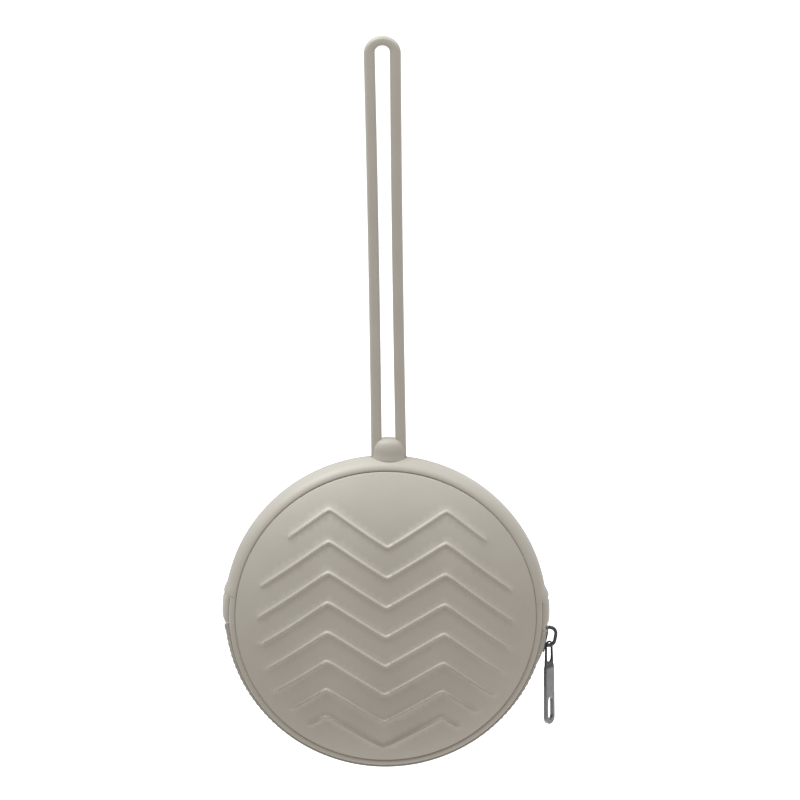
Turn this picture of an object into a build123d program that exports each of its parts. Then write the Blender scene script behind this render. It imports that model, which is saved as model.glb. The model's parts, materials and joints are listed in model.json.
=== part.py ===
"""A round silicone zip pouch that hangs from a long strap loop.

Millimetres, +Z up, the ridged face towards -Y, the zip's slider on the +X side. The origin is the point
inside the top of the strap loop that hangs on a wrist or a hook. The pouch hangs below it, turned a
little clockwise on its strap, and the zip runs round the lower half of its rim. The front below the
zip's ends is a flap that folds forward about the chord between them.
"""

import os
from math import cos, degrees, radians, sin

from build123d import *

# pouch
RIM_RADIUS = 52.5  # the widest circle, half way between the two faces
EDGE_RADIUS = 48.3  # where a face meets the side wall, at its groove
EDGE_HALF = 5.9  # from the middle plane to the groove
DOME_RISE = 10.6  # how far a face swells beyond its groove
DOME_POWER = 3.12  # how flat the middle of a face is
FACE_SKIN = 1.4  # thickness of the silicone, measured along the pouch's axis
WALL_SKIN = 1.7  # and at the rim, measured along a radius
GROOVE_WIRE = 0.3  # radius of the groove round each face
POUCH_TURN = 2.0  # degrees clockwise, seen from the front
FOLD_DROP = 3.6  # the chord between the zip's ends, below the pouch's centre
FOLD_GAP = 0.1  # between the fixed front and the flap
COLLAR_PROUD = 0.5  # the wall is this much thicker where the zip ends
COLLAR_TOP = 7.0  # degrees above the pouch's centre line

# strap
STRAP_DROP = 132.5  # from the origin down to the top of the pouch
SLOT_WIDTH = 4.4
LEG_WIDTH = 3.5
LEG_DEPTH = 3.0
LEG_ROUND = 1.2
BOSS_HALF_WIDTH = 5.3
BOSS_HALF_DEPTH = 3.4
BOSS_HEIGHT = 6.1
BOSS_ROUND = 2.0
BEND_HEIGHT = 11.0  # the strap folds this far above the pouch
BEND_CLEARANCE = 0.6
NECK_RADIUS = 2.5
FLANGE_WIDTH = 10.0
FLANGE_DEPTH = 4.4
FLANGE_REACH = 3.9  # from the top of the pouch down to the flange's underside

# zip
CHAIN_RADIUS = 51.2  # the middle of the teeth
TAPE_THICKNESS = 0.5
SLIT_HALF = 4.7  # half the slit between the front and the back rim
HEM_END = 46.8  # radius where a tape's glued hem ends inside the pouch
ZIP_END = 3.95  # degrees below the pouch's centre line, on both sides
TAPE_SHORT = 0.6  # the tapes stop this many degrees short of the slit's ends
TOOTH_PITCH = 2.0
TOOTH_LENGTH = 0.8
TOOTH_THICKNESS = 1.8
TOOTH_ROOT = 2.0  # from the middle plane to the edge of the tooth's tape
TOOTH_HEAD = 0.65  # how far a tooth passes the middle plane
STOP_LENGTH = 1.5
STOP_INNER = 1.15  # from the middle plane to a top stop

# slider
SLIDER_ANGLE = -8.9  # degrees round the rim from the +X side when the zip is closed
SLIDER_LENGTH = 7.8
SLIDER_WIDE = 3.9  # half its width at the mouth that takes the open tapes
SLIDER_NARROW = 2.9
SHOULDER = (-0.5, 1.2)  # its sides widen between these places along it
INNER_PLATE = (49.25, 50.05)  # radii from the pouch's centre
OUTER_PLATE = (52.2, 52.85)
TAPE_SLOT = (50.6, 51.65)
FLANGE_WALL = 0.75
POST_HALF_WIDTH = 0.9
POST_START = 1.7

# bridge and pull
BRIDGE_TOP = 56.3
BRIDGE_SHIFT = 1.0  # from the slider's middle towards its mouth
BRIDGE_WIRE = 1.1
BRIDGE_SPAN = 7.2
BRIDGE_CORNER = 2.6
PULL_PIVOT = 53.8  # radius of the point that the pull's eye circles about
PULL_TWIST = 38.0  # degrees that the pull is turned out of the rim's tangent plane
PULL_THICKNESS = 1.3
PULL_LENGTH = 28.8  # from the pivot to its far end
PULL_HALF_WIDTH = 2.35
PULL_SHOULDER = (8.0, 2.15)  # from the pivot, and its half width there
EYE_SPAN = (2.25, 6.3)  # from the pivot to the middles of the eye's round ends
EYE_RADIUS = 1.28
EYE_RIM = 0.5
EYE_THICKNESS = 0.75
EYE_REACH = (8.4, 9.6)  # the pull thickens between these places along it
SLOT_SPAN = (20.6, 25.9)
SLOT_RADIUS = 1.2
METAL_ROUND = 0.25  # on the long edges of the bridge

FAR = 80.0  # further than the pouch reaches, for cutting shapes

turn = radians(POUCH_TURN)
RIGHT = Vector(cos(turn), 0, -sin(turn))
UP = Vector(sin(turn), 0, cos(turn))
FRONT = Vector(0, -1, 0)
POUCH_TOP = Vector(0, 0, -STRAP_DROP)
CENTRE = POUCH_TOP - UP * RIM_RADIUS
BEND_Z = BEND_HEIGHT - STRAP_DROP
DISC_AXIS = Axis(CENTRE, FRONT)
MIDDLE = Plane(origin=CENTRE, x_dir=RIGHT, z_dir=FRONT)  # x right, y up, z to the front


def outward(angle):
    """The direction from the pouch's centre to its rim, counter-clockwise from the right."""
    return RIGHT * cos(radians(angle)) + UP * sin(radians(angle))


def section(angle):
    """A half-plane on the pouch's axis: x is the radius, y the distance in front of the middle."""
    return Plane(origin=CENTRE, x_dir=outward(angle), z_dir=outward(angle).cross(FRONT))


def rim_plane(angle, radius):
    """A plane across a radius: x runs round the rim, y to the front, z away from the centre."""
    normal = outward(angle)
    return Plane(origin=CENTRE + normal * radius, x_dir=outward(angle + 90), z_dir=normal)


def degrees_along(distance):
    """The angle that a distance along the chain spans."""
    return degrees(distance / CHAIN_RADIUS)


def face_depth(share, edge_radius, edge_half):
    """A point of a face's profile, at a share of its radius: the radius and the depth there."""
    return (edge_radius * share, edge_half + DOME_RISE * (1 - share**DOME_POWER))


def pouch_body(edge_radius, edge_half, rim_radius):
    """A solid of the pouch's shape: two domed faces and a rounded wall between them."""
    with BuildPart() as body:
        with BuildSketch(section(0)):
            with BuildLine():
                shares = (0, 0.25, 0.45, 0.6, 0.72, 0.82, 0.91, 1)
                face = Spline(*[face_depth(s, edge_radius, edge_half) for s in shares])
                reach = rim_radius - edge_radius
                wall = EllipticalCenterArc((edge_radius, 0), reach, edge_half, 0, arc_size=90)
                Polyline(wall @ 0, (0, 0), face @ 0)
            make_face()
        revolve(axis=DISC_AXIS)
        mirror(about=MIDDLE)
    return body.part


OUTSIDE = pouch_body(EDGE_RADIUS, EDGE_HALF, RIM_RADIUS)
INSIDE = pouch_body(EDGE_RADIUS - WALL_SKIN - 0.2, EDGE_HALF - FACE_SKIN, RIM_RADIUS - WALL_SKIN)

# the wall stands a little proud round the zip's ends
with BuildPart() as collars:
    for start in (-ZIP_END, 180 - COLLAR_TOP):
        with BuildSketch(section(start)):
            with Locations((EDGE_RADIUS, 0)):
                Ellipse(RIM_RADIUS - EDGE_RADIUS + COLLAR_PROUD, EDGE_HALF - 0.2)
                Ellipse(RIM_RADIUS - EDGE_RADIUS - 0.4, EDGE_HALF + 1, mode=Mode.SUBTRACT)
            with Locations((EDGE_RADIUS - FAR / 2, 0)):
                Rectangle(FAR, FAR, mode=Mode.SUBTRACT)
        revolve(axis=DISC_AXIS, revolution_arc=ZIP_END + COLLAR_TOP)

with BuildPart() as grooves:
    with BuildSketch(section(0)):
        with Locations((EDGE_RADIUS, EDGE_HALF), (EDGE_RADIUS, -EDGE_HALF)):
            Circle(GROOVE_WIRE)
    revolve(axis=DISC_AXIS)

with BuildPart() as slit:
    with BuildSketch(MIDDLE):
        with Locations((0, -FOLD_DROP)):
            Rectangle(2 * FAR, FAR, align=(Align.CENTER, Align.MAX))
    extrude(amount=SLIT_HALF, both=True)

with BuildPart() as neck_hole:
    with BuildSketch(Plane(origin=POUCH_TOP, x_dir=RIGHT, z_dir=UP)):
        Circle(NECK_RADIUS)
    extrude(amount=FLANGE_REACH, both=True)


def shell_half(keep):
    """Half of the moulded pouch, front (Keep.TOP) or back, with the zip's slit cut from its wall."""
    with BuildPart() as half:
        add(OUTSIDE)
        add(collars.part)
        for cut in (INSIDE, grooves.part, slit.part, neck_hole.part):
            add(cut, mode=Mode.SUBTRACT)
        split(bisect_by=MIDDLE, keep=keep)
    return half.part


with BuildPart() as back_shell:
    add(shell_half(Keep.BOTTOM))

with BuildPart() as front_shell:
    add(shell_half(Keep.TOP))
    split(bisect_by=Plane(origin=CENTRE - UP * FOLD_DROP, z_dir=UP), keep=Keep.TOP)

with BuildPart() as front_flap:
    add(shell_half(Keep.TOP))
    split(bisect_by=Plane(origin=CENTRE - UP * (FOLD_DROP + FOLD_GAP), z_dir=UP), keep=Keep.BOTTOM)


# ---- strap ----

leg_x = (SLOT_WIDTH + LEG_WIDTH) / 2

with BuildPart() as strap_loop:
    with BuildLine(Plane.XZ):
        crown = -SLOT_WIDTH / 2
        left_leg = Line((-leg_x, BEND_Z), (-leg_x, crown))
        bow = RadiusArc((-leg_x, crown), (leg_x, crown), leg_x)
        Line((leg_x, crown), (leg_x, BEND_Z))
    with BuildSketch(Plane(origin=(-leg_x, 0, BEND_Z), z_dir=(0, 0, 1))):
        RectangleRounded(LEG_WIDTH, LEG_DEPTH, LEG_ROUND)
    sweep()
    # the fold's clearance, a round about the bend
    with BuildSketch(Plane.YZ):
        with Locations((0, BEND_Z)):
            Circle(LEG_DEPTH / 2 + BEND_CLEARANCE)
    extrude(amount=FAR, both=True, mode=Mode.SUBTRACT)

with BuildPart() as foot:
    with BuildSketch(Plane(origin=POUCH_TOP - UP * FLANGE_REACH, x_dir=RIGHT, z_dir=UP)):
        Ellipse(BOSS_HALF_WIDTH, BOSS_HALF_DEPTH)
    extrude(amount=FLANGE_REACH + BOSS_HEIGHT)
    fillet(foot.faces().sort_by(Axis.Z)[-1].edges(), BOSS_ROUND)
    with BuildSketch(Plane.XY.offset(-STRAP_DROP - FLANGE_REACH)):
        with Locations((-leg_x, 0), (leg_x, 0)):
            RectangleRounded(LEG_WIDTH, LEG_DEPTH, LEG_ROUND)
    extrude(amount=FLANGE_REACH + BEND_HEIGHT + LEG_DEPTH)
    # the legs end in a round about the bend
    with BuildSketch(Plane.YZ):
        with Locations((0, BEND_Z)):
            Rectangle(FAR, FAR, align=(Align.CENTER, Align.MIN))
            Circle(LEG_DEPTH / 2, mode=Mode.SUBTRACT)
    extrude(amount=FAR, both=True, mode=Mode.SUBTRACT)
    add(OUTSIDE, mode=Mode.SUBTRACT)

with BuildPart() as flange:
    with BuildSketch(Plane(origin=POUCH_TOP - UP * FLANGE_REACH, x_dir=RIGHT, z_dir=UP)):
        RectangleRounded(FLANGE_WIDTH, FLANGE_DEPTH, FLANGE_DEPTH / 2 - 0.1)
    extrude(amount=FLANGE_REACH)
    add(INSIDE, mode=Mode.INTERSECT)

with BuildPart() as strap_boss:
    add(foot.part)
    add(flange.part)
    with BuildSketch(Plane(origin=POUCH_TOP - UP * (FLANGE_REACH - 0.5), x_dir=RIGHT, z_dir=UP)):
        Circle(NECK_RADIUS)
    extrude(amount=FLANGE_REACH)


# ---- zip ----

tape_start = 180 + ZIP_END + TAPE_SHORT
tape_arc = 180 - 2 * (ZIP_END + TAPE_SHORT)


def tape(side):
    """One tape, side 1 in front and -1 behind: a strip beside the teeth, and a hem glued inside."""
    outer = CHAIN_RADIUS + TAPE_THICKNESS / 2
    inner = CHAIN_RADIUS - TAPE_THICKNESS / 2
    outline = [
        (outer, TOOTH_ROOT),
        (outer, SLIT_HALF),
        (HEM_END, SLIT_HALF),
        (HEM_END, SLIT_HALF - TAPE_THICKNESS),
        (inner, SLIT_HALF - TAPE_THICKNESS),
        (inner, TOOTH_ROOT),
    ]
    with BuildPart() as strip:
        with BuildSketch(section(tape_start)):
            Polygon(*[(radius, side * depth) for radius, depth in outline], align=None)
        revolve(axis=DISC_AXIS, revolution_arc=tape_arc)
        fillet(strip.edges().filter_by(GeomType.CIRCLE).sort_by(SortBy.LENGTH)[-1:], TAPE_THICKNESS / 2)
    return strip.part


def teeth(side, first):
    """One row of teeth on its tape, from the bottom stop to the slider's post."""
    last = 360 + SLIDER_ANGLE + degrees_along(POST_START - TOOTH_LENGTH)
    pitch = degrees_along(TOOTH_PITCH)
    count = int((last - first) / pitch) + 1
    planes = [rim_plane(first + i * pitch, CHAIN_RADIUS - TOOTH_THICKNESS / 2) for i in range(count)]
    length = TOOTH_ROOT + TOOTH_HEAD - TOOTH_LENGTH / 2
    with BuildPart() as row:
        with BuildSketch(*planes):
            with Locations((0, side * (TOOTH_ROOT - length / 2))):
                Rectangle(TOOTH_LENGTH, length)
            with Locations((0, side * (TOOTH_ROOT - length))):
                Circle(TOOTH_LENGTH / 2)
        extrude(amount=TOOTH_THICKNESS)
    return row.part


def stop(angle, low, high):
    """A stop block across the chain, between two distances in front of the middle plane."""
    with BuildPart() as block:
        with BuildSketch(rim_plane(angle, CHAIN_RADIUS - TOOTH_THICKNESS / 2)):
            with Locations((0, (low + high) / 2)):
                RectangleRounded(STOP_LENGTH, high - low, 0.2)
        extrude(amount=TOOTH_THICKNESS)
    return block.part


bottom_angle = tape_start + degrees_along(STOP_LENGTH)
top_angle = SLIDER_ANGLE + degrees_along(SLIDER_LENGTH / 2 - STOP_LENGTH)
first_tooth = bottom_angle + degrees_along(STOP_LENGTH + TOOTH_PITCH) / 2

with BuildPart() as front_tape:
    add(tape(1))

with BuildPart() as back_tape:
    add(tape(-1))

with BuildPart() as front_teeth:
    add(teeth(1, first_tooth))

with BuildPart() as back_teeth:
    add(teeth(-1, first_tooth + degrees_along(TOOTH_PITCH) / 2))

with BuildPart() as front_top_stop:
    add(stop(top_angle, STOP_INNER, TOOTH_ROOT))

with BuildPart() as back_top_stop:
    add(stop(top_angle, -TOOTH_ROOT, -STOP_INNER))

with BuildPart() as bottom_stop:
    add(stop(bottom_angle, -TOOTH_ROOT, TOOTH_ROOT))


# ---- slider, bridge and pull ----


def slider_outline(inset):
    """The slider seen from outside the rim, in the open sketch, narrow behind and wide at its mouth."""
    end = SLIDER_LENGTH / 2
    side = [
        (-end, SLIDER_NARROW - inset),
        (SHOULDER[0], SLIDER_NARROW - inset),
        (SHOULDER[1], SLIDER_WIDE - inset),
        (end, SLIDER_WIDE - inset),
    ]
    Polygon(*side, *[(x, -y) for x, y in reversed(side)], align=None)


def plate(radii):
    """One of the slider's two plates, between two radii."""
    with BuildPart() as sheet:
        with BuildSketch(rim_plane(SLIDER_ANGLE, radii[0])) as outline:
            slider_outline(0)
            fillet(outline.vertices(), SLIDER_WIDE / 5)
        extrude(amount=radii[1] - radii[0])
    return sheet.part


with BuildPart() as slider_body:
    add(plate(INNER_PLATE))
    add(plate(OUTER_PLATE))
    # side flanges turned in from both plates, which leave a slot for the tapes
    for low, high in ((INNER_PLATE[1], TAPE_SLOT[0]), (TAPE_SLOT[1], OUTER_PLATE[0])):
        with BuildSketch(rim_plane(SLIDER_ANGLE, low)) as rails:
            slider_outline(0)
            fillet(rails.vertices(), SLIDER_WIDE / 5)
            with BuildSketch(mode=Mode.PRIVATE) as channel:
                slider_outline(FLANGE_WALL)
                Rectangle(SLIDER_LENGTH + 1, 2 * (SLIDER_NARROW - FLANGE_WALL))
            add(channel.sketch, mode=Mode.SUBTRACT)
        extrude(amount=high - low)
    # the post that parts the two rows of teeth
    with BuildSketch(rim_plane(SLIDER_ANGLE, INNER_PLATE[1])):
        with Locations(((POST_START + SLIDER_LENGTH / 2) / 2, 0)):
            RectangleRounded(SLIDER_LENGTH / 2 - POST_START, 2 * POST_HALF_WIDTH, POST_HALF_WIDTH - 0.1)
    extrude(amount=OUTER_PLATE[0] - INNER_PLATE[1])

along_slider = outward(SLIDER_ANGLE + 90)


def bridge_outline(span, height, corner, mode=Mode.ADD):
    """A block that stands on the outer plate with its two far corners rounded, in the open sketch."""
    with BuildSketch(mode=Mode.PRIVATE) as block:
        Rectangle(span, height, align=(Align.CENTER, Align.MIN))
        fillet(block.vertices().group_by(Axis.Y)[-1], corner)
    add(block.sketch, mode=mode)


foot_middle = CENTRE + outward(SLIDER_ANGLE) * OUTER_PLATE[1] + along_slider * BRIDGE_SHIFT


def height_above_plate(edge):
    """How far the middle of an edge stands off the outer plate, and nothing for an edge that lies on it."""
    return round((edge.center() - foot_middle).dot(outward(SLIDER_ANGLE)), 3)


with BuildPart() as slider_bridge:
    height = BRIDGE_TOP - OUTER_PLATE[1]
    opening = BRIDGE_SPAN - 2 * BRIDGE_WIRE
    with BuildSketch(Plane(origin=foot_middle, x_dir=along_slider, z_dir=-FRONT)):
        bridge_outline(BRIDGE_SPAN, height, BRIDGE_CORNER)
        bridge_outline(opening, height - BRIDGE_WIRE, BRIDGE_CORNER - BRIDGE_WIRE, Mode.SUBTRACT)
    extrude(amount=BRIDGE_WIRE / 2, both=True)
    long_edges = slider_bridge.faces().filter_by(Plane.XZ).edges()
    fillet([edge for edge in long_edges if height_above_plate(edge) > 0], METAL_ROUND)

pivot = CENTRE + outward(SLIDER_ANGLE) * PULL_PIVOT
twist = radians(PULL_TWIST)
across_pull = Vector(sin(twist), cos(twist), 0)

with BuildPart() as pull_tab:
    with BuildSketch(Plane(origin=pivot, x_dir=across_pull, z_dir=(cos(twist), -sin(twist), 0))):
        with BuildLine():
            CenterArc((0, -EYE_SPAN[0]), EYE_RADIUS + EYE_RIM, 0, arc_size=360)
            CenterArc((0, -PULL_SHOULDER[0]), PULL_SHOULDER[1], 0, arc_size=360)
            CenterArc((0, PULL_HALF_WIDTH - PULL_LENGTH), PULL_HALF_WIDTH, 0, arc_size=360)
        make_hull()
        for (top, bottom), radius in ((EYE_SPAN, EYE_RADIUS), (SLOT_SPAN, SLOT_RADIUS)):
            with Locations((0, -(top + bottom) / 2)):
                SlotCenterToCenter(bottom - top, 2 * radius, rotation=90, mode=Mode.SUBTRACT)
    extrude(amount=PULL_THICKNESS / 2, both=True)
    # seen from its edge it is thinner round the eye
    with BuildSketch(Plane(origin=pivot, x_dir=(0, 0, -1), z_dir=across_pull)):
        edge_on = [
            (0, EYE_THICKNESS / 2),
            (EYE_REACH[0], EYE_THICKNESS / 2),
            (EYE_REACH[1], PULL_THICKNESS / 2),
            (PULL_LENGTH, PULL_THICKNESS / 2),
        ]
        Polygon(*edge_on, *[(along, -half) for along, half in reversed(edge_on)], align=None)
    extrude(amount=PULL_HALF_WIDTH, both=True, mode=Mode.INTERSECT)


pieces = {
    "strap_loop": strap_loop,
    "strap_boss": strap_boss,
    "back_shell": back_shell,
    "front_shell": front_shell,
    "front_flap": front_flap,
    "front_tape": front_tape,
    "back_tape": back_tape,
    "front_teeth": front_teeth,
    "back_teeth": back_teeth,
    "front_top_stop": front_top_stop,
    "back_top_stop": back_top_stop,
    "bottom_stop": bottom_stop,
    "slider_body": slider_body,
    "slider_bridge": slider_bridge,
    "pull_tab": pull_tab,
}

os.makedirs("parts", exist_ok=True)
for name, piece in pieces.items():
    piece.part.label = name
    export_step(piece.part, f"parts/{name}.step")
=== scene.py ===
"""The looks of a round silicone zip pouch on its strap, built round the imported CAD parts.

The pouch's own frame is x to the right, y up and z to the front, in millimetres from its centre. It is
turned a little against the row frame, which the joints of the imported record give. Silicone is modelled
as closed skins, the zip's tapes as woven strips, and the metal is the CAD's own.
"""

import json
from math import asin, cos, degrees, hypot, pi, radians, sin

import bpy
import numpy as np
from mathutils import Matrix, Vector
from mathutils.geometry import delaunay_2d_cdt


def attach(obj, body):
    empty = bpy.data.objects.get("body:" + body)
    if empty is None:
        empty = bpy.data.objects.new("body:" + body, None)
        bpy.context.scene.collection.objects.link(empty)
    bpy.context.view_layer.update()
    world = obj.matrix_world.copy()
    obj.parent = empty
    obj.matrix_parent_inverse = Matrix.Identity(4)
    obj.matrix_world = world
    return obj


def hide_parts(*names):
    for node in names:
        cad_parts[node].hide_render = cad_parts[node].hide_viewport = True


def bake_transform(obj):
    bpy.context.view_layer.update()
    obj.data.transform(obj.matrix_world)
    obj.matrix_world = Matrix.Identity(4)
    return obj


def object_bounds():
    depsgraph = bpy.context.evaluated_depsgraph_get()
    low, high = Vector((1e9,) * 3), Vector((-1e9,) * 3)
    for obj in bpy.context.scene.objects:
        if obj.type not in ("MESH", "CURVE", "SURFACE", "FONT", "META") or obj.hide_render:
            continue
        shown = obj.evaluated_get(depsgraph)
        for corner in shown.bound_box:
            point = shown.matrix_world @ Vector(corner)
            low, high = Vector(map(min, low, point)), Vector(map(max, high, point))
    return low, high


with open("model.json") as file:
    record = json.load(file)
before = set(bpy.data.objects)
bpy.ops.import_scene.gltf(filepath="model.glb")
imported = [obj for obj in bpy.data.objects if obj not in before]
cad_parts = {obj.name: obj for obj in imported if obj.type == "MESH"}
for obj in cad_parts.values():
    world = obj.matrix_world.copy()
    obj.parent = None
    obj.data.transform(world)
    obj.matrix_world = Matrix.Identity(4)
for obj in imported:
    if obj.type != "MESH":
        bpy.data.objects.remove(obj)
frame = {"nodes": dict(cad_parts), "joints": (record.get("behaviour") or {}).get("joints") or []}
cad_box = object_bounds()

MM = 0.001

# the pouch
RIM_RADIUS = 52.3
EDGE_RADIUS = 48.6  # where a face meets the side wall, at its groove
EDGE_HALF = 5.9  # from the middle plane to the groove
DOME_RISE = 10.6  # how far a face swells beyond its groove
DOME_POWER = 3.12
FACE_SKIN = 1.4
WALL_SKIN = 1.7
INNER_EDGE = EDGE_RADIUS - WALL_SKIN - 0.2  # the inside's radius at the groove
SLIT_HALF = 4.7  # half the slit between the front's bead and the back's
ZIP_END = 3.95  # degrees below the pouch's centre line, on both sides
COLLAR_PROUD = (0.9, 0.65)  # the wall swells this much at the zip's ends, right and left
COLLAR_RISE = (-11.5, -7.4)  # degrees below the pouch's centre line between which it swells
COLLAR_FADE = (1.2, 4.6)  # and between which it falls back
NOTCH = -6.3  # a nick in the swelling, below which its tab stands clear of the bead in front
NOTCH_HALF = 0.9
TAB_TURNS = (0, 44, 49, 54, 58, 90)  # degrees round the wall's section, from its widest place
TAB_SWELLS = (1, 1, 0.6, -0.1, 0, 0)  # how much of the swelling the tab has at each of them

# the zigzag ridges
RIDGE_HEIGHT = 0.6  # in the top row
RIDGE_GAIN = 0.32  # and how much more in the bottom row
RIDGE_HALF = 0.85
ROW_COUNT = 8
ROW_PITCH = 9.83
TOP_VALLEY = 26.0  # above the pouch's centre
PEAK_PLACE = 18.75  # right and left of the middle
INNER_SLOPE = 0.62
OUTER_SLOPE = 0.765
CORNER_ROUND = 0.6
ROW_REACH = (32.0, 40.6, 41.5, 40.2, 38.3, 36.0, 30.4, 24.6)  # right and left, from the top row down
END_TAPER = 2.2

# the skins' meshes
FACE_RING = 45.6  # inside it a face is triangles that follow the ridges
GRID_STEP = 1.6
COLUMN_STEP = 1.25  # degrees
FINE_STEP = 0.6  # where the collars swell
FINE_TOP = 13.0
EDGE_STEPS = (2.2, 1.5, 0.85, 0.4, 0.18)  # a face's last rings, inside its edge
GROOVE = ((-0.08, 0.3), (0.06, 0.34), (0.22, 0.1))  # its rings: beyond the edge, and behind it
GROOVE_TURN = 88  # the groove's place round the wall's section, in degrees from its widest place
LIP_ROUND = 0.28
LIP_TURN = degrees(asin((SLIT_HALF + LIP_ROUND) / EDGE_HALF))  # the lip's place
LIP_STRETCH = 1.55  # the bead's inside runs out this many times as far as its outside
BEAD_TURNS = (83, 77, 70, 64, LIP_TURN)  # the rings from the groove to the lip
SIDE_TURNS = (54, 49, 44, 36, 27, 18, 9, 0)  # the side wall's rings, from its front to its middle
BEAD_SINK = 0.06  # how far the front's bead slips under the side wall
RIDGE_SHARES = (-1, -0.8, -0.55, -0.28, 0, 0.28, 0.55, 0.8, 1)  # a ridge's points across its half width
ROW_STEP = 0.8  # between a ridge's points along it
CORNER_STEP = 0.3  # and between them near a corner
CORNER_REACH = 1.6  # how far from the corner that is
FLIP = np.array((1, 1, -1))  # from the front to the back

# the strap
STRAP_DROP = 132.5
LEG_SPREAD = (4.1, 3.79, 3.92)  # half the distance between the legs at the top, middle and bottom
LEG_WIDTH = 3.5
BOW_WIDTH = 2.95
LEG_DEPTH = 3.0
LEG_ROUND = 1.25
CROWN = 2.2  # the bow's middle, below the origin
BOSS_HALF_WIDTH = 5.2
BOSS_HALF_DEPTH = 3.9
BOSS_HEIGHT = 6.0
BOSS_SINK = 1.6
BOSS_FOOT = ((-BOSS_SINK, 1.1), (-0.6, 1.075), (0.1, 1.035), (0.8, 1.008), (1.6, 1.0))  # height, scale
BOSS_POWER = 0.55  # how square the dome is above them
BOSS_TIP = 0.02  # its last section's scale
LEG_END = -1.2  # the legs run down into the wall, below the pouch's top
LEG_STEPS = 70
BOW_STEPS = 24

# the zip
CHAIN_RADIUS = 51.2
TAPE_THICKNESS = 0.5
TAPE_TUCK = 0.8  # degrees that the tapes run on under the wall at the zip's ends
TOOTH_ROOT = 2.0  # from the middle plane to the edge of the tape
HEM_END = 46.8  # radius where a tape's glued hem ends inside the pouch
TEETH_ROUND = 0.12  # on the edges of the teeth and stops
CORD_RADIUS = 51.98  # the cord beside the teeth
RIB_RADIUS = 51.4  # the tape's raised fold beside the lip
RIB_SWELL = 0.95  # it is this much prouder at the zip's ends
RIB_FADES = ((11.0, 21.0), (3.95, 10.0))  # and falls back between these degrees, right and left

# the metal
# GUNMETAL_DARK is the slider's and bridge's own plating; on the pull it is the colour of a painted
# reflection at its top
GUNMETAL_DARK = (0.12, 0.117, 0.117)
GUNMETAL_LIGHT = (0.33, 0.326, 0.33)
PAINTED_REFLECTION_REACH = (7.5, 9.5)  # below the pull's top, where its painted reflection, darker at the top, gives way

joints = {joint["name"]: joint for joint in frame["joints"]}
CENTRE = np.array(joints["slider_travel"]["pos_m"])
RIGHT = -np.array(joints["flap_open"]["axis"])
FRONT = np.array((0.0, -1.0, 0.0))
UP = np.cross(FRONT, RIGHT)
AXES = np.array((RIGHT, UP, FRONT))


# ---- materials ----


def material(name, color, roughness, metallic=0.0, **inputs):
    """A material of one principled shader, returned with its node tree and that shader."""
    made = bpy.data.materials.new(name)
    made.use_nodes = True
    shader = made.node_tree.nodes["Principled BSDF"]
    shader.inputs["Base Color"].default_value = (*color, 1)
    shader.inputs["Roughness"].default_value = roughness
    shader.inputs["Metallic"].default_value = metallic
    for key, value in inputs.items():
        shader.inputs[key.replace("_", " ")].default_value = value
    return made, made.node_tree, shader


def node(tree, kind, settings=None, **links):
    """A new node. Links give an input's name its value, or the socket that feeds it."""
    made = tree.nodes.new(kind)
    for key, value in (settings or {}).items():
        setattr(made, key, value)
    for key, value in links.items():
        socket = made.inputs[key.replace("_", " ")]
        if isinstance(value, bpy.types.NodeSocket):
            tree.links.new(value, socket)
        else:
            socket.default_value = value
    return made


def noise(tree, place, scale, detail=2.0):
    """Noise over the object's own coordinates, as a value from 0 to 1."""
    return node(tree, "ShaderNodeTexNoise", Vector=place, Scale=scale, Detail=detail).outputs["Fac"]


def mapped(tree, value, start, end, low=0.0, high=1.0):
    """A value's way from start to end, as one from low to high, held there beyond them."""
    links = {"Value": value, "From Min": start, "From Max": end, "To Min": low, "To Max": high}
    return node(tree, "ShaderNodeMapRange", **links).outputs["Result"]


def spread(tree, noise_value, low, high):
    """Noise, most of which is between 0.3 and 0.7, spread between two values."""
    return mapped(tree, noise_value, 0.3, 0.7, low, high)


def mix(tree, share, first, second):
    """Two colours mixed by a share."""
    made = node(tree, "ShaderNodeMix", {"data_type": "RGBA"})
    for socket, value in ((made.inputs[0], share), (made.inputs[6], first), (made.inputs[7], second)):
        if isinstance(value, bpy.types.NodeSocket):
            tree.links.new(value, socket)
        else:
            socket.default_value = (*value, 1)
    return made.outputs[2]


def bump(tree, shader, height, distance, strength=1.0):
    """Feeds a height to a shader's normal."""
    made = node(tree, "ShaderNodeBump", Height=height, Distance=distance, Strength=strength)
    tree.links.new(made.outputs["Normal"], shader.inputs["Normal"])


def silicone_material():
    """Matt greige silicone: a fine satin grain, a faint cloudiness, and a soft sheen."""
    made, tree, shader = material(
        "silicone", (0.43, 0.38, 0.31), 0.45, Specular_IOR_Level=0.6, Sheen_Weight=0.38, Sheen_Roughness=0.5
    )
    place = node(tree, "ShaderNodeTexCoord").outputs["Object"]
    cloud = noise(tree, place, 45.0, 4.0)
    grain = noise(tree, place, 2600.0, 3.0)
    color = mix(tree, spread(tree, cloud, 0.0, 1.0), (0.415, 0.368, 0.302), (0.45, 0.402, 0.332))
    tree.links.new(color, shader.inputs["Base Color"])
    tree.links.new(spread(tree, noise(tree, place, 140.0, 3.0), 0.4, 0.5), shader.inputs["Roughness"])
    bump(tree, shader, grain, 0.00002, 0.5)
    return made


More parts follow.
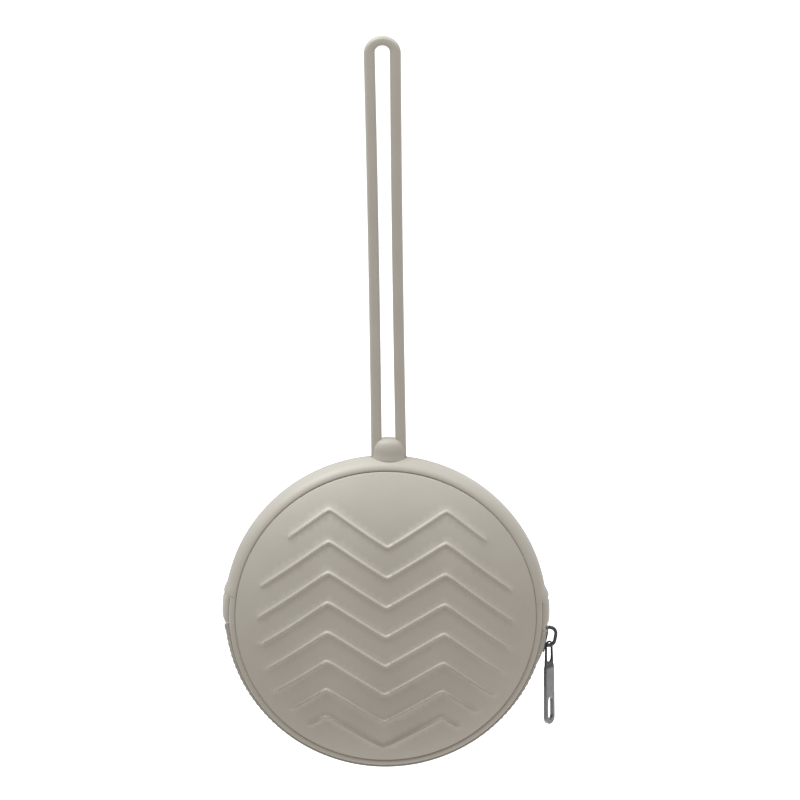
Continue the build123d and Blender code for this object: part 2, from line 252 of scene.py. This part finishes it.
def tape_material():
    """Woven polyester tape: ribs across and a herringbone of threads along it."""
    made, tree, shader = material("tape", (0.46, 0.42, 0.35), 0.85, Sheen_Weight=0.25, Sheen_Roughness=0.4)
    place = node(tree, "ShaderNodeUVMap", {"uv_map": "weave"}).outputs["UV"]
    ribs = node(
        tree, "ShaderNodeTexWave", {"bands_direction": "X"}, Vector=place, Scale=0.55, Distortion=0.3
    )
    threads = node(
        tree, "ShaderNodeTexWave", {"bands_direction": "DIAGONAL"}, Vector=place, Scale=0.6, Distortion=0.4
    )
    weave = node(tree, "ShaderNodeMath", {"operation": "MULTIPLY"})
    tree.links.new(ribs.outputs["Fac"], weave.inputs[0])
    tree.links.new(threads.outputs["Fac"], weave.inputs[1])
    color = mix(tree, weave.outputs[0], (0.38, 0.345, 0.285), (0.49, 0.45, 0.38))
    tree.links.new(color, shader.inputs["Base Color"])
    bump(tree, shader, weave.outputs[0], 0.0001)
    return made


def plastic_material():
    """The zip's moulded teeth, a shade darker than the tape."""
    made, tree, shader = material("zip_plastic", (0.42, 0.395, 0.35), 0.38, Specular_IOR_Level=0.5)
    place = node(tree, "ShaderNodeTexCoord").outputs["Object"]
    cloud = spread(tree, noise(tree, place, 300.0), 0.0, 1.0)
    tint = mix(tree, cloud, (0.38, 0.355, 0.315), (0.45, 0.42, 0.375))
    tree.links.new(tint, shader.inputs["Base Color"])
    return made


def metal_material(name, painted_reflection_tone, light, low=0.0, high=0.0):
    """Polished plating with rub marks. Where low and high are given it darkens upwards between them, a
    painted reflection.
    """
    made, tree, shader = material(name, light, 0.2, 1.0)
    place = node(tree, "ShaderNodeTexCoord").outputs["Object"]
    wear = spread(tree, noise(tree, place, 420.0, 5.0), 0.0, 1.0)
    color = mix(tree, wear, [0.85 * value for value in light], light)
    # painted reflection: the colour turns darker upwards between low and high, standing in for what the
    # metal reflects
    if high > low:
        height = node(tree, "ShaderNodeSeparateXYZ", Vector=place).outputs["Z"]
        color = mix(tree, mapped(tree, height, low, high), color, painted_reflection_tone)
    tree.links.new(color, shader.inputs["Base Color"])
    tree.links.new(spread(tree, noise(tree, place, 900.0, 3.0), 0.16, 0.3), shader.inputs["Roughness"])
    bump(tree, shader, noise(tree, place, 700.0), 0.00003, 0.35)
    return made


SILICONE = silicone_material()
TAPE = tape_material()
PLASTIC = plastic_material()


# ---- meshes ----


def to_row(points):
    """Points of the pouch's own frame, in millimetres, in the row frame."""
    return CENTRE + np.asarray(points, float) @ AXES * MM


def new_piece(name, points, faces, paint):
    """A smooth mesh object from row frame points."""
    mesh = bpy.data.meshes.new(name)
    mesh.from_pydata([tuple(p) for p in points], [], faces)
    mesh.validate()
    mesh.shade_smooth()
    piece = bpy.data.objects.new(name, mesh)
    bpy.context.scene.collection.objects.link(piece)
    mesh.materials.append(paint)
    return piece


def strips(first, second):
    """The quads between two equally long lists of points, open at their ends."""
    return [(first[i], second[i], second[i + 1], first[i + 1]) for i in range(len(first) - 1)]


def border_of(faces):
    """The directed edges that only one face has."""
    edges = {(f[i - 1], f[i]) for f in faces for i in range(len(f))}
    return [(a, b) for a, b in edges if (b, a) not in edges]


def closed_skin(name, outer, inner, faces, rounded):
    """A skin with an outer and an inner side, closed round its border.

    The border bulges by LIP_ROUND away from the skin at the points in rounded, and is flat elsewhere.
    """
    count = len(outer)
    border = sorted(border_of(faces))
    middles = {}
    for face in faces:
        for i in range(len(face)):
            middles[(face[i - 1], face[i])] = face
    away = {}
    for a, b in border:
        inside = outer[list(middles[(a, b)])].mean(0)
        along = outer[b] - outer[a]
        along = along / np.linalg.norm(along)
        out = (outer[a] + outer[b]) / 2 - inside
        out = out - along * (out @ along)
        for corner in (a, b):
            away[corner] = away.get(corner, 0) + out / np.linalg.norm(out)
    ring = sorted(away)
    points = [outer, inner]
    index = {}
    for layer, (near, far) in enumerate(((outer, inner), (inner, outer))):
        rows = []
        for corner in ring:
            through = far[corner] - near[corner]
            step = through / np.linalg.norm(through) * LIP_ROUND
            if corner in rounded:
                step = step + away[corner] / np.linalg.norm(away[corner]) * LIP_ROUND
            index[(layer, corner)] = 2 * count + layer * len(ring) + len(rows)
            rows.append(near[corner] + step)
        points.append(np.array(rows))
    made = [tuple(f) for f in faces]
    made += [tuple(count + v for v in reversed(f)) for f in faces]
    for a, b in border:
        levels = [(a, b)]
        levels += [(index[(layer, a)], index[(layer, b)]) for layer in (0, 1)]
        levels += [(count + a, count + b)]
        for (a0, b0), (a1, b1) in zip(levels, levels[1:]):
            made.append((b0, a0, a1, b1))
    return new_piece(name, to_row(np.concatenate(points)), made, SILICONE)


def row_height(row, x):
    """How high a zigzag row runs at x, with its corners rounded, and its slope there."""
    valley = TOP_VALLEY - ROW_PITCH * row
    past = np.abs(x) - PEAK_PLACE
    ramp = (past + np.sqrt(past**2 + CORNER_ROUND**2)) / 2
    bowl = np.sqrt(x**2 + CORNER_ROUND**2) - CORNER_ROUND
    turned = (1 + past / np.sqrt(past**2 + CORNER_ROUND**2)) / 2
    slope = INNER_SLOPE * x / (bowl + CORNER_ROUND) - np.sign(x) * (INNER_SLOPE + OUTER_SLOPE) * turned
    return valley + INNER_SLOPE * bowl - (INNER_SLOPE + OUTER_SLOPE) * ramp, slope


def ridge(x, y):
    """The height of the ridges over the face at each point."""
    total = np.zeros_like(x)
    for row, reach in enumerate(ROW_REACH):
        height, slope = row_height(row, x)
        across = np.clip(np.abs(y - height) / np.sqrt(1 + slope**2) / RIDGE_HALF, 0, 1)
        end = np.clip((reach - np.abs(x)) / END_TAPER, 0, 1)
        rise = RIDGE_HEIGHT + RIDGE_GAIN * row / (ROW_COUNT - 1)
        total += rise * (1 - across**2) ** 2 * np.sqrt(end * (2 - end))
    return total


def span(low, high, step):
    """Evenly spaced values from low to high, about a step apart."""
    return np.linspace(low, high, round((high - low) / step) + 1)


def columns():
    """The angles of the columns round the rim: from the zip's right end over the top, and back below."""
    fine = span(-ZIP_END, FINE_TOP, FINE_STEP)
    coarse = span(FINE_TOP, 180 - FINE_TOP, COLUMN_STEP)[1:-1]
    upper = np.concatenate((fine, coarse, (180 - fine)[::-1]))
    lower = span(180 + ZIP_END, 360 - ZIP_END, COLUMN_STEP)[1:-1]
    return np.append(upper, lower), len(upper)


COLUMNS, UPPER = columns()
COUNT = len(COLUMNS)
RIGHT_NOTCH = int(np.argmin(np.abs(COLUMNS[:UPPER] + NOTCH)))  # the columns where the tabs start
LEFT_NOTCH = UPPER - 1 - RIGHT_NOTCH


def row_places(reach):
    """Where a zigzag row has points: evenly along it, and closer together at its corners and ends."""
    near = CORNER_STEP * np.arange(-5, 6)
    along = np.arange(0, reach + 0.6, ROW_STEP)
    along = along[(np.abs(along - PEAK_PLACE) > CORNER_REACH) & (along > CORNER_REACH)]
    ends = reach - END_TAPER * np.array((0.1, 0.3))
    x = np.concatenate((along, near + PEAK_PLACE, near[near >= -0.01], ends))
    return np.unique(np.round(np.concatenate((x, -x)), 3))


def face_net():
    """Flat points and triangles of a face inside FACE_RING, the ring's points first."""
    ring = np.radians(COLUMNS)
    points = [np.stack((FACE_RING * np.cos(ring), FACE_RING * np.sin(ring)), 1)]
    for row, reach in enumerate(ROW_REACH):
        x = row_places(reach)
        height, slope = row_height(row, x)
        for share in RIDGE_SHARES:
            points.append(np.stack((x, height + share * RIDGE_HALF * np.sqrt(1 + slope**2)), 1))
    steps = np.arange(-FACE_RING, FACE_RING, GRID_STEP)
    for number, level in enumerate(steps):
        x = steps + (GRID_STEP / 2 if number % 2 else 0)
        y = np.full_like(x, level)
        keep = np.hypot(x, y) < FACE_RING - GRID_STEP * 0.6
        for row, reach in enumerate(ROW_REACH):
            height, slope = row_height(row, x)
            across = np.abs(y - height) / np.sqrt(1 + slope**2)
            keep &= (across > RIDGE_HALF + GRID_STEP * 0.45) | (np.abs(x) > reach + GRID_STEP)
        points.append(np.stack((x, y), 1)[keep])
    points = np.concatenate(points)
    found = delaunay_2d_cdt([Vector(p) for p in points], [], [], 0, 1e-5)
    source = [ids[0] for ids in found[3]]
    triangles = [tuple(source[v] for v in face) for face in found[2]]
    return points, triangles


FACE_POINTS, FACE_TRIANGLES = face_net()


def face_sides(points):
    """A face's outer and inner points over flat ones, in the pouch's own frame."""
    share = np.hypot(points[:, 0], points[:, 1]) / EDGE_RADIUS
    rise = DOME_RISE * (1 - share**DOME_POWER)
    raised = EDGE_HALF + rise + ridge(points[:, 0], points[:, 1])
    outer = np.column_stack((points, raised))
    inner = np.column_stack((points * (INNER_EDGE / EDGE_RADIUS), EDGE_HALF - FACE_SKIN + rise))
    return outer, inner


def side_drop(angle):
    """How many degrees an angle round the rim is below the pouch's centre line, on its own side."""
    return abs((angle - 90 + 180) % 360 - 180) - 90


def eased(value, low, high):
    """A smooth step from 0 at low to 1 at high."""
    share = min(1.0, max(0.0, (value - low) / (high - low)))
    return share * share * (3 - 2 * share)


def collar(angle, turn):
    """How much the wall swells at an angle round the rim, and at a turn of the wall's section."""
    drop = side_drop(angle)
    nick = max(0.0, 1 - abs(drop - NOTCH) / NOTCH_HALF) / 2
    swell = eased(drop, *COLLAR_RISE) * (1 - nick) * (1 - eased(drop, *COLLAR_FADE))
    tab = eased(drop, NOTCH - NOTCH_HALF / 2, NOTCH + NOTCH_HALF / 2)
    shape = (1 - tab) * cos(radians(turn)) + tab * np.interp(abs(turn), TAB_TURNS, TAB_SWELLS)
    return COLLAR_PROUD[int(90 < angle < 270)] * swell * shape


def ring_points(radius, depth, turn=90):
    """One point a column, at a radius and a distance in front of the middle."""
    angle = np.radians(COLUMNS)
    reach = radius + np.array([collar(a, turn) for a in COLUMNS])
    return np.stack((reach * np.cos(angle), reach * np.sin(angle), np.full(COUNT, depth)), 1)


def wall_ring(turn):
    """A ring of the wall's outside, at a turn of its section from its widest place to the front."""
    radius = EDGE_RADIUS + (RIM_RADIUS - EDGE_RADIUS) * cos(radians(turn))
    return ring_points(radius, EDGE_HALF * sin(radians(turn)), turn)


def edge_rings():
    """The rows of a face outside FACE_RING, from there to the groove, as outer and inner rings."""
    rows = []
    for step in EDGE_STEPS:
        outer, inner = face_sides(np.array(((EDGE_RADIUS - step, 0.0),)))
        rows.append((ring_points(outer[0, 0], outer[0, 2]), ring_points(inner[0, 0], inner[0, 2])))
    return rows


def wall_rows():
    """The rows of the wall from the groove at the front to the lip of the slit.

    Each is its outer ring, its inner ring where the wall is whole, and its inner ring beside the slit.
    """
    rings = [
        (ring_points(EDGE_RADIUS + step, EDGE_HALF - drop), step, GROOVE_TURN) for step, drop in GROOVE
    ]
    for turn in BEAD_TURNS:
        rings.append((wall_ring(turn), (RIM_RADIUS - EDGE_RADIUS) * cos(radians(turn)), turn))
    rows = []
    for ring, reach, turn in rings:
        beside = ring_points(EDGE_RADIUS - WALL_SKIN + reach * LIP_STRETCH, SLIT_HALF + LIP_ROUND)
        rows.append((ring, inner_wall(turn), beside))
    return rows


def inner_wall(turn):
    """The wall's inner ring at an angle of its round section."""
    reach = RIM_RADIUS - WALL_SKIN - INNER_EDGE
    depth = (EDGE_HALF - FACE_SKIN) * sin(radians(turn))
    return ring_points(INNER_EDGE + reach * cos(radians(turn)), depth)


def beside_slit(column):
    """True for the columns of the zip, its two ends among them."""
    return column >= UPPER - 1 or column == 0


def pick(whole, slit):
    """A ring that is one or the other by column."""
    return np.array([slit[c] if beside_slit(c) else whole[c] for c in range(COUNT)])


class Net:
    """Collects the outer and inner points and the faces of a skin."""

    def __init__(self):
        self.outer = []
        self.inner = []
        self.faces = []
        self.rounded = set()
        self.size = 0

    def add(self, outer, inner):
        """New points, returned as their numbers."""
        self.outer.append(outer)
        self.inner.append(inner)
        numbers = list(range(self.size, self.size + len(outer)))
        self.size += len(outer)
        return numbers

    def join(self, first, second, low=0, high=COUNT):
        """Quads between two rings, over the columns from low up to high."""
        chosen = [c % COUNT for c in range(low, high + 1)]
        self.faces += strips([first[c] for c in chosen], [second[c] for c in chosen])

    def piece(self, name):
        """The skin as a closed mesh object."""
        return closed_skin(
            name, np.concatenate(self.outer), np.concatenate(self.inner), self.faces, self.rounded
        )


def front_skin():
    """The whole domed front with its ridges, and below the tabs' tops the bead in front of the slit."""
    net = Net()
    numbers = net.add(*face_sides(FACE_POINTS))
    net.faces += [tuple(numbers[v] for v in f) for f in FACE_TRIANGLES]
    last = numbers[:COUNT]
    for outer, inner in edge_rings():
        ring = net.add(outer, inner)
        net.join(last, ring)
        last = ring
    (outer, whole, slit), *rows = wall_rows()
    ring = net.add(outer, pick(whole, slit))
    net.join(last, ring)
    last = ring
    for outer, _, slit in rows:
        # it slips under the side wall one column above the tabs
        for column in (LEFT_NOTCH - 1, RIGHT_NOTCH + 1):
            outer[column, :2] *= 1 - BEAD_SINK / EDGE_RADIUS
        ring = net.add(outer, slit)
        net.join(last, ring, LEFT_NOTCH - 1, COUNT + RIGHT_NOTCH + 1)
        last = ring
    net.rounded = {last[c] for c in range(UPPER, COUNT)}
    return net.piece("pouch_front")


def back_skin():
    """The back, and the side wall above the zip's ends, up to the front's groove and the tabs' edges."""
    net = Net()
    rows = wall_rows()
    last = None
    for outer, whole, _ in rows:
        ring = net.add(outer, whole)
        if last:
            net.join(last, ring, RIGHT_NOTCH, LEFT_NOTCH)
        last = ring
    ends = []
    for number, turn in enumerate(SIDE_TURNS + tuple(-turn for turn in SIDE_TURNS[-2::-1])):
        ring = net.add(wall_ring(turn), inner_wall(turn))
        if number == 0:
            net.join(last, ring, RIGHT_NOTCH, LEFT_NOTCH)
        else:
            net.join(last, ring, 0, UPPER - 1)
            ends += [last[0], last[UPPER - 1]]
        last = ring
    lip = None
    for outer, whole, slit in reversed(rows):
        ring = net.add(outer * FLIP, pick(whole, slit) * FLIP)
        if lip:
            net.join(last, ring)
        else:
            lip = ring
            net.join(last, ring, 0, UPPER - 1)
        last = ring
    for outer, inner in reversed(edge_rings()):
        ring = net.add(outer * FLIP, inner * FLIP)
        net.join(last, ring)
        last = ring
    outer, inner = face_sides(FACE_POINTS)
    numbers = net.add(outer * FLIP, inner * FLIP)
    net.join(last, numbers[:COUNT])
    net.faces += [tuple(numbers[v] for v in reversed(f)) for f in FACE_TRIANGLES]
    net.rounded = {lip[c] for c in range(UPPER - 1, COUNT)} | {lip[0]} | set(ends)
    return used_only(net).piece("pouch_back")


def used_only(net):
    """Drops a net's points that no face has."""
    used = sorted({v for f in net.faces for v in f})
    number = {old: new for new, old in enumerate(used)}
    net.outer = [np.concatenate(net.outer)[used]]
    net.inner = [np.concatenate(net.inner)[used]]
    net.faces = [tuple(number[v] for v in f) for f in net.faces]
    net.rounded = {number[v] for v in net.rounded if v in number}
    return net


pouch_front = front_skin()
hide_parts("front_shell", "front_flap")
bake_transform(pouch_front)

pouch_back = back_skin()
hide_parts("back_shell")
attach(pouch_back, "pouch")


# ---- strap ----


def rounded_section(width, depth, corner, count=5):
    """A rounded rectangle as a loop of points, counter-clockwise from its first corner."""
    points = []
    for number, (sx, sy) in enumerate(((1, 1), (-1, 1), (-1, -1), (1, -1))):
        for step in range(count + 1):
            angle = radians(90 * number + 90 * step / count)
            x = sx * (width / 2 - corner) + corner * cos(angle)
            y = sy * (depth / 2 - corner) + corner * sin(angle)
            points.append((x, y))
    return np.array(points)


def tube(loops):
    """Points and faces of a tube through equally long loops, with both of its ends closed."""
    size = len(loops[0])
    faces = []
    for level in range(len(loops) - 1):
        for i in range(size):
            j = (i + 1) % size
            low, high = level * size, (level + 1) * size
            faces.append((low + i, low + j, high + j, high + i))
    faces.append(tuple(reversed(range(size))))
    faces.append(tuple(range((len(loops) - 1) * size, len(loops) * size)))
    return np.concatenate(loops), faces


def strap_path():
    """Points up the left leg, round the bow and down the right leg, with the width and the way out there."""
    low = LEG_END - STRAP_DROP
    legs = []
    for share in np.linspace(1, 0, LEG_STEPS):
        top, middle, bottom = LEG_SPREAD
        spread_here = top * (1 - share) * (1 - 2 * share) + 4 * middle * share * (1 - share)
        spread_here += bottom * share * (2 * share - 1)
        legs.append((spread_here, -CROWN + share * (low + CROWN)))
    path = [(-x, z, LEG_WIDTH, -1.0, 0.0) for x, z in legs]
    radius = LEG_SPREAD[0]
    for step in range(1, BOW_STEPS):
        angle = pi - pi * step / BOW_STEPS
        narrow = LEG_WIDTH + (BOW_WIDTH - LEG_WIDTH) * sin(angle)
        lift = radius - (LEG_WIDTH - BOW_WIDTH) / 2
        path.append((radius * cos(angle), -CROWN + lift * sin(angle), narrow, cos(angle), sin(angle)))
    path += [(x, z, LEG_WIDTH, 1.0, 0.0) for x, z in reversed(legs)]
    return path


def strap_loops():
    """The strap's sections along its path, in row frame millimetres."""
    loops = []
    for x, z, width, out_x, out_z in strap_path():
        section = rounded_section(width, LEG_DEPTH, LEG_ROUND * width / LEG_WIDTH)
        loops.append(np.stack((x + section[:, 0] * out_x, section[:, 1], z + section[:, 0] * out_z), 1))
    return loops


points, faces = tube(strap_loops())
strap = new_piece("strap", points * MM, faces, SILICONE)
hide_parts("strap_loop")
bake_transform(strap)


def boss_loops():
    """Sections of the strap's domed foot, from inside the wall up to its flat top."""
    loops = []
    angles = np.linspace(0, 2 * pi, 64, endpoint=False)
    levels = list(BOSS_FOOT)
    start = BOSS_FOOT[-1][0]
    for step in range(1, 13):
        turn = radians(90 * step / 12)
        levels.append((start + (BOSS_HEIGHT - start) * sin(turn), max(cos(turn) ** BOSS_POWER, BOSS_TIP)))
    for height, scale in levels:
        x = BOSS_HALF_WIDTH * scale * np.cos(angles)
        z = BOSS_HALF_DEPTH * scale * np.sin(angles)
        loops.append(np.stack((x, np.full_like(x, RIM_RADIUS + height), -z), 1))
    return loops


points, faces = tube(boss_loops())
boss = new_piece("strap_foot", to_row(points), faces, SILICONE)
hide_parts("strap_boss")
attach(boss, "pouch")


# ---- zip ----


def tape_section(side, rib):
    """A tape's loop: a cord beside the teeth, a strip, a fold that stands up to rib, and a glued hem."""
    inner = CHAIN_RADIUS - TAPE_THICKNESS / 2
    outer = CHAIN_RADIUS + TAPE_THICKNESS / 2
    hem = CHAIN_RADIUS - 0.6
    outline = [
        (inner, TOOTH_ROOT - 0.1),
        (outer + 0.25, TOOTH_ROOT - 0.35),
        (CORD_RADIUS, TOOTH_ROOT - 0.25),
        (CORD_RADIUS, TOOTH_ROOT - 0.05),
        (outer + 0.25, TOOTH_ROOT + 0.1),
        (outer, TOOTH_ROOT + 0.12),
        (outer, SLIT_HALF - 0.9),
        (rib - 0.4, SLIT_HALF - 0.74),
        (rib - 0.1, SLIT_HALF - 0.6),
        (rib, SLIT_HALF - 0.35),
        (rib - 0.08, SLIT_HALF - 0.1),
        (rib - 0.4, SLIT_HALF + 0.06),
        (rib - 0.9, SLIT_HALF + 0.04),
        (hem, SLIT_HALF - 0.1),
        (HEM_END, SLIT_HALF),
        (HEM_END, SLIT_HALF - TAPE_THICKNESS),
        (hem, SLIT_HALF - TAPE_THICKNESS),
        (inner, SLIT_HALF - TAPE_THICKNESS - 0.2),
        (inner, TOOTH_ROOT + 0.5),
    ]
    return [(radius, side * depth) for radius, depth in outline]


def tape_piece(name, side):
    """One tape as a closed strip along the zip, with its weave laid out in millimetres."""
    along = span(180 + ZIP_END - TAPE_TUCK, 360 - ZIP_END + TAPE_TUCK, 1.0)
    loops = []
    for angle in along:
        fade = RIB_FADES[int(angle < 270)]
        drop = side_drop(angle)
        swell = eased(drop, ZIP_END - TAPE_TUCK, ZIP_END + TAPE_TUCK / 2) * (1 - eased(drop, *fade))
        rib = RIB_RADIUS + RIB_SWELL * swell
        turn = radians(angle)
        section = tape_section(side, rib)
        loops.append([(r * cos(turn), r * sin(turn), d) for r, d in section][::-side])
    points, faces = tube([np.array(loop) for loop in loops])
    piece = new_piece(name, to_row(points), faces, TAPE)
    section = tape_section(side, RIB_RADIUS)
    lengths = [0.0]
    for (r0, d0), (r1, d1) in zip(section, section[1:]):
        lengths.append(lengths[-1] + hypot(r1 - r0, d1 - d0))
    lengths = lengths[::-side]
    weave = piece.data.uv_layers.new(name="weave")
    for loop in piece.data.loops:
        level, place = divmod(loop.vertex_index, len(section))
        weave.data[loop.index].uv = (radians(along[level] - 180) * CHAIN_RADIUS, lengths[place])
    return piece


def soften(piece, width):
    """Rounds a CAD mesh's hard edges with modifiers, which leave the mesh itself alone."""
    weld = piece.modifiers.new("weld", "WELD")
    weld.merge_threshold = 0.001 * MM
    bevel = piece.modifiers.new("bevel", "BEVEL")
    bevel.width = width * MM
    bevel.segments = 2
    bevel.limit_method = "ANGLE"
    bevel.angle_limit = radians(40)
    return piece


def repaint(piece, paint):
    """Gives a CAD mesh one material of its own."""
    piece.data.materials.clear()
    piece.data.materials.append(paint)


def copy_of(name, *nodes):
    """A new piece made of CAD nodes that bend with the front, with their edges rounded."""
    points, faces = [], []
    for part in nodes:
        source = frame["nodes"][part]
        soften(source, TEETH_ROUND)
        graph = bpy.context.evaluated_depsgraph_get()
        mesh = bpy.data.meshes.new_from_object(source.evaluated_get(graph))
        faces += [tuple(v + len(points) for v in p.vertices) for p in mesh.polygons]
        points += [tuple(v.co) for v in mesh.vertices]
        source.modifiers.clear()
    piece = new_piece(name, points, faces, PLASTIC)
    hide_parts(*nodes)
    return piece


for name, side in (("front_tape", 1), ("back_tape", -1)):
    tape = tape_piece(f"woven_{name}", side)
    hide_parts(name)
    if side > 0:
        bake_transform(tape)
    else:
        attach(tape, "pouch")

front_teeth = copy_of("front_zip_teeth", "front_teeth", "front_top_stop")
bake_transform(front_teeth)

for name in ("back_teeth", "back_top_stop", "bottom_stop"):
    repaint(soften(frame["nodes"][name], TEETH_ROUND), PLASTIC)

pull = frame["nodes"]["pull_tab"]
pull_top = max(vertex.co.z for vertex in pull.data.vertices)
dark_metal = metal_material("dark_gunmetal", GUNMETAL_DARK, GUNMETAL_DARK)
# the pull's top end is painted darker between these heights, a painted reflection rather than its plating
pull_metal = metal_material(
    "gunmetal", GUNMETAL_DARK, GUNMETAL_LIGHT, pull_top - PAINTED_REFLECTION_REACH[1] * MM, pull_top - PAINTED_REFLECTION_REACH[0] * MM
)
for name, width, paint in (
    ("slider_body", 0.2, dark_metal),
    ("slider_bridge", 0.1, dark_metal),
    ("pull_tab", 0.2, pull_metal),
):
    repaint(soften(frame["nodes"][name], width), paint)


# ---- studio ----

FLOOR_DROP = 0.06  # the pouch hangs this far above the floor
WHITE = (1, 0.995, 0.99, 1)
AMBIENT = (1.6, 0.34, 1.1)  # the surround's light below, level and above
AMBIENT_SIDES = (0.7, 1.08)  # its strength in front on the left, and behind on the right
CAMERA_DISTANCE = 1.3
CAMERA_ELEVATION = 16.8
CAMERA_LENS = 180.2
AIM_UP = 3.03  # the camera's aim, in degrees off the pouch's centre
AIM_RIGHT = 0.205
CAMERA_ROLL = 0.95
FLOOR_HALF = 6.0  # metres, like all of the studio


def floor_plane():
    """A wide white floor below the hanging pouch."""
    low = cad_box[0].z - FLOOR_DROP
    corners = [(x * FLOOR_HALF, y * FLOOR_HALF, low) for x, y in ((-1, -1), (1, -1), (1, 1), (-1, 1))]
    mesh = bpy.data.meshes.new("floor")
    mesh.from_pydata(corners, [], [(0, 1, 2, 3)])
    plane = bpy.data.objects.new("floor", mesh)
    bpy.context.scene.collection.objects.link(plane)
    paint, _, shader = material("floor_paint", (0.9, 0.9, 0.89), 0.9)
    shader.inputs["Emission Color"].default_value = WHITE
    shader.inputs["Emission Strength"].default_value = 0.5
    mesh.materials.append(paint)
    plane.visible_diffuse = False
    plane.visible_glossy = False


def area_light(name, place, size, power, color):
    """A soft square light aimed at the pouch."""
    data = bpy.data.lights.new(name, "AREA")
    data.shape = "SQUARE"
    data.size = size
    data.energy = power
    data.color = color
    lamp = bpy.data.objects.new(name, data)
    lamp.location = place
    aim = Vector(CENTRE) - Vector(place)
    lamp.rotation_euler = aim.to_track_quat("-Z", "Y").to_euler()
    bpy.context.scene.collection.objects.link(lamp)


def world_light():
    """A white surround for the camera, and a dimmer one for the object, darkest at its own height."""
    world = bpy.data.worlds.new("studio")
    bpy.context.scene.world = world
    world.use_nodes = True
    tree = world.node_tree
    tree.nodes.clear()
    out = node(tree, "ShaderNodeOutputWorld")
    direction = node(tree, "ShaderNodeTexCoord").outputs["Generated"]
    height = node(tree, "ShaderNodeSeparateXYZ", Vector=direction).outputs["Z"]
    ramp = node(tree, "ShaderNodeValToRGB", Fac=mapped(tree, height, -1, 1))
    stops = ramp.color_ramp.elements
    stops.new(0.5)
    for stop, level in zip(stops, AMBIENT):
        stop.color = (level, level, level, 1)
    aside = node(tree, "ShaderNodeVectorMath", {"operation": "DOT_PRODUCT"})
    tree.links.new(direction, aside.inputs[0])
    aside.inputs[1].default_value = (0.7, 0.7, 0)
    side = mapped(tree, aside.outputs["Value"], -1, 1, *AMBIENT_SIDES)
    ambient = node(tree, "ShaderNodeBackground", Color=ramp.outputs["Color"], Strength=side)
    white = node(tree, "ShaderNodeBackground", Strength=1.0)
    white.inputs["Color"].default_value = WHITE
    seen = node(tree, "ShaderNodeLightPath").outputs["Is Camera Ray"]
    both = node(tree, "ShaderNodeMixShader", Fac=seen)
    tree.links.new(ambient.outputs[0], both.inputs[1])
    tree.links.new(white.outputs[0], both.inputs[2])
    tree.links.new(both.outputs[0], out.inputs["Surface"])


def camera():
    """The photograph's viewpoint: a long lens from a little above, with the strap leaning slightly left."""
    data = bpy.data.cameras.new("camera")
    data.lens = CAMERA_LENS
    data.sensor_width = 36
    data.clip_end = 50
    made = bpy.data.objects.new("camera", data)
    rise = radians(CAMERA_ELEVATION)
    place = Vector(CENTRE) + Vector((0, -cos(rise), sin(rise))) * CAMERA_DISTANCE
    look = (Vector(CENTRE) - place).to_track_quat("-Z", "Y").to_matrix().to_4x4()
    turns = ((-CAMERA_ROLL, "Z"), (AIM_UP, "X"), (-AIM_RIGHT, "Y"))
    for angle, axis in turns:
        look = look @ Matrix.Rotation(radians(angle), 4, axis)
    made.matrix_world = Matrix.Translation(place) @ look
    bpy.context.scene.collection.objects.link(made)
    bpy.context.scene.camera = made


floor_plane()
world_light()
area_light("key", (-0.55, -0.2, 1.0), 0.9, 16.0, (0.86, 0.94, 1))
area_light("fill", (0.5, -0.3, 0.9), 0.6, 4.5, (0.8, 0.9, 1))
camera()
bpy.context.scene.view_settings.view_transform = "Standard"
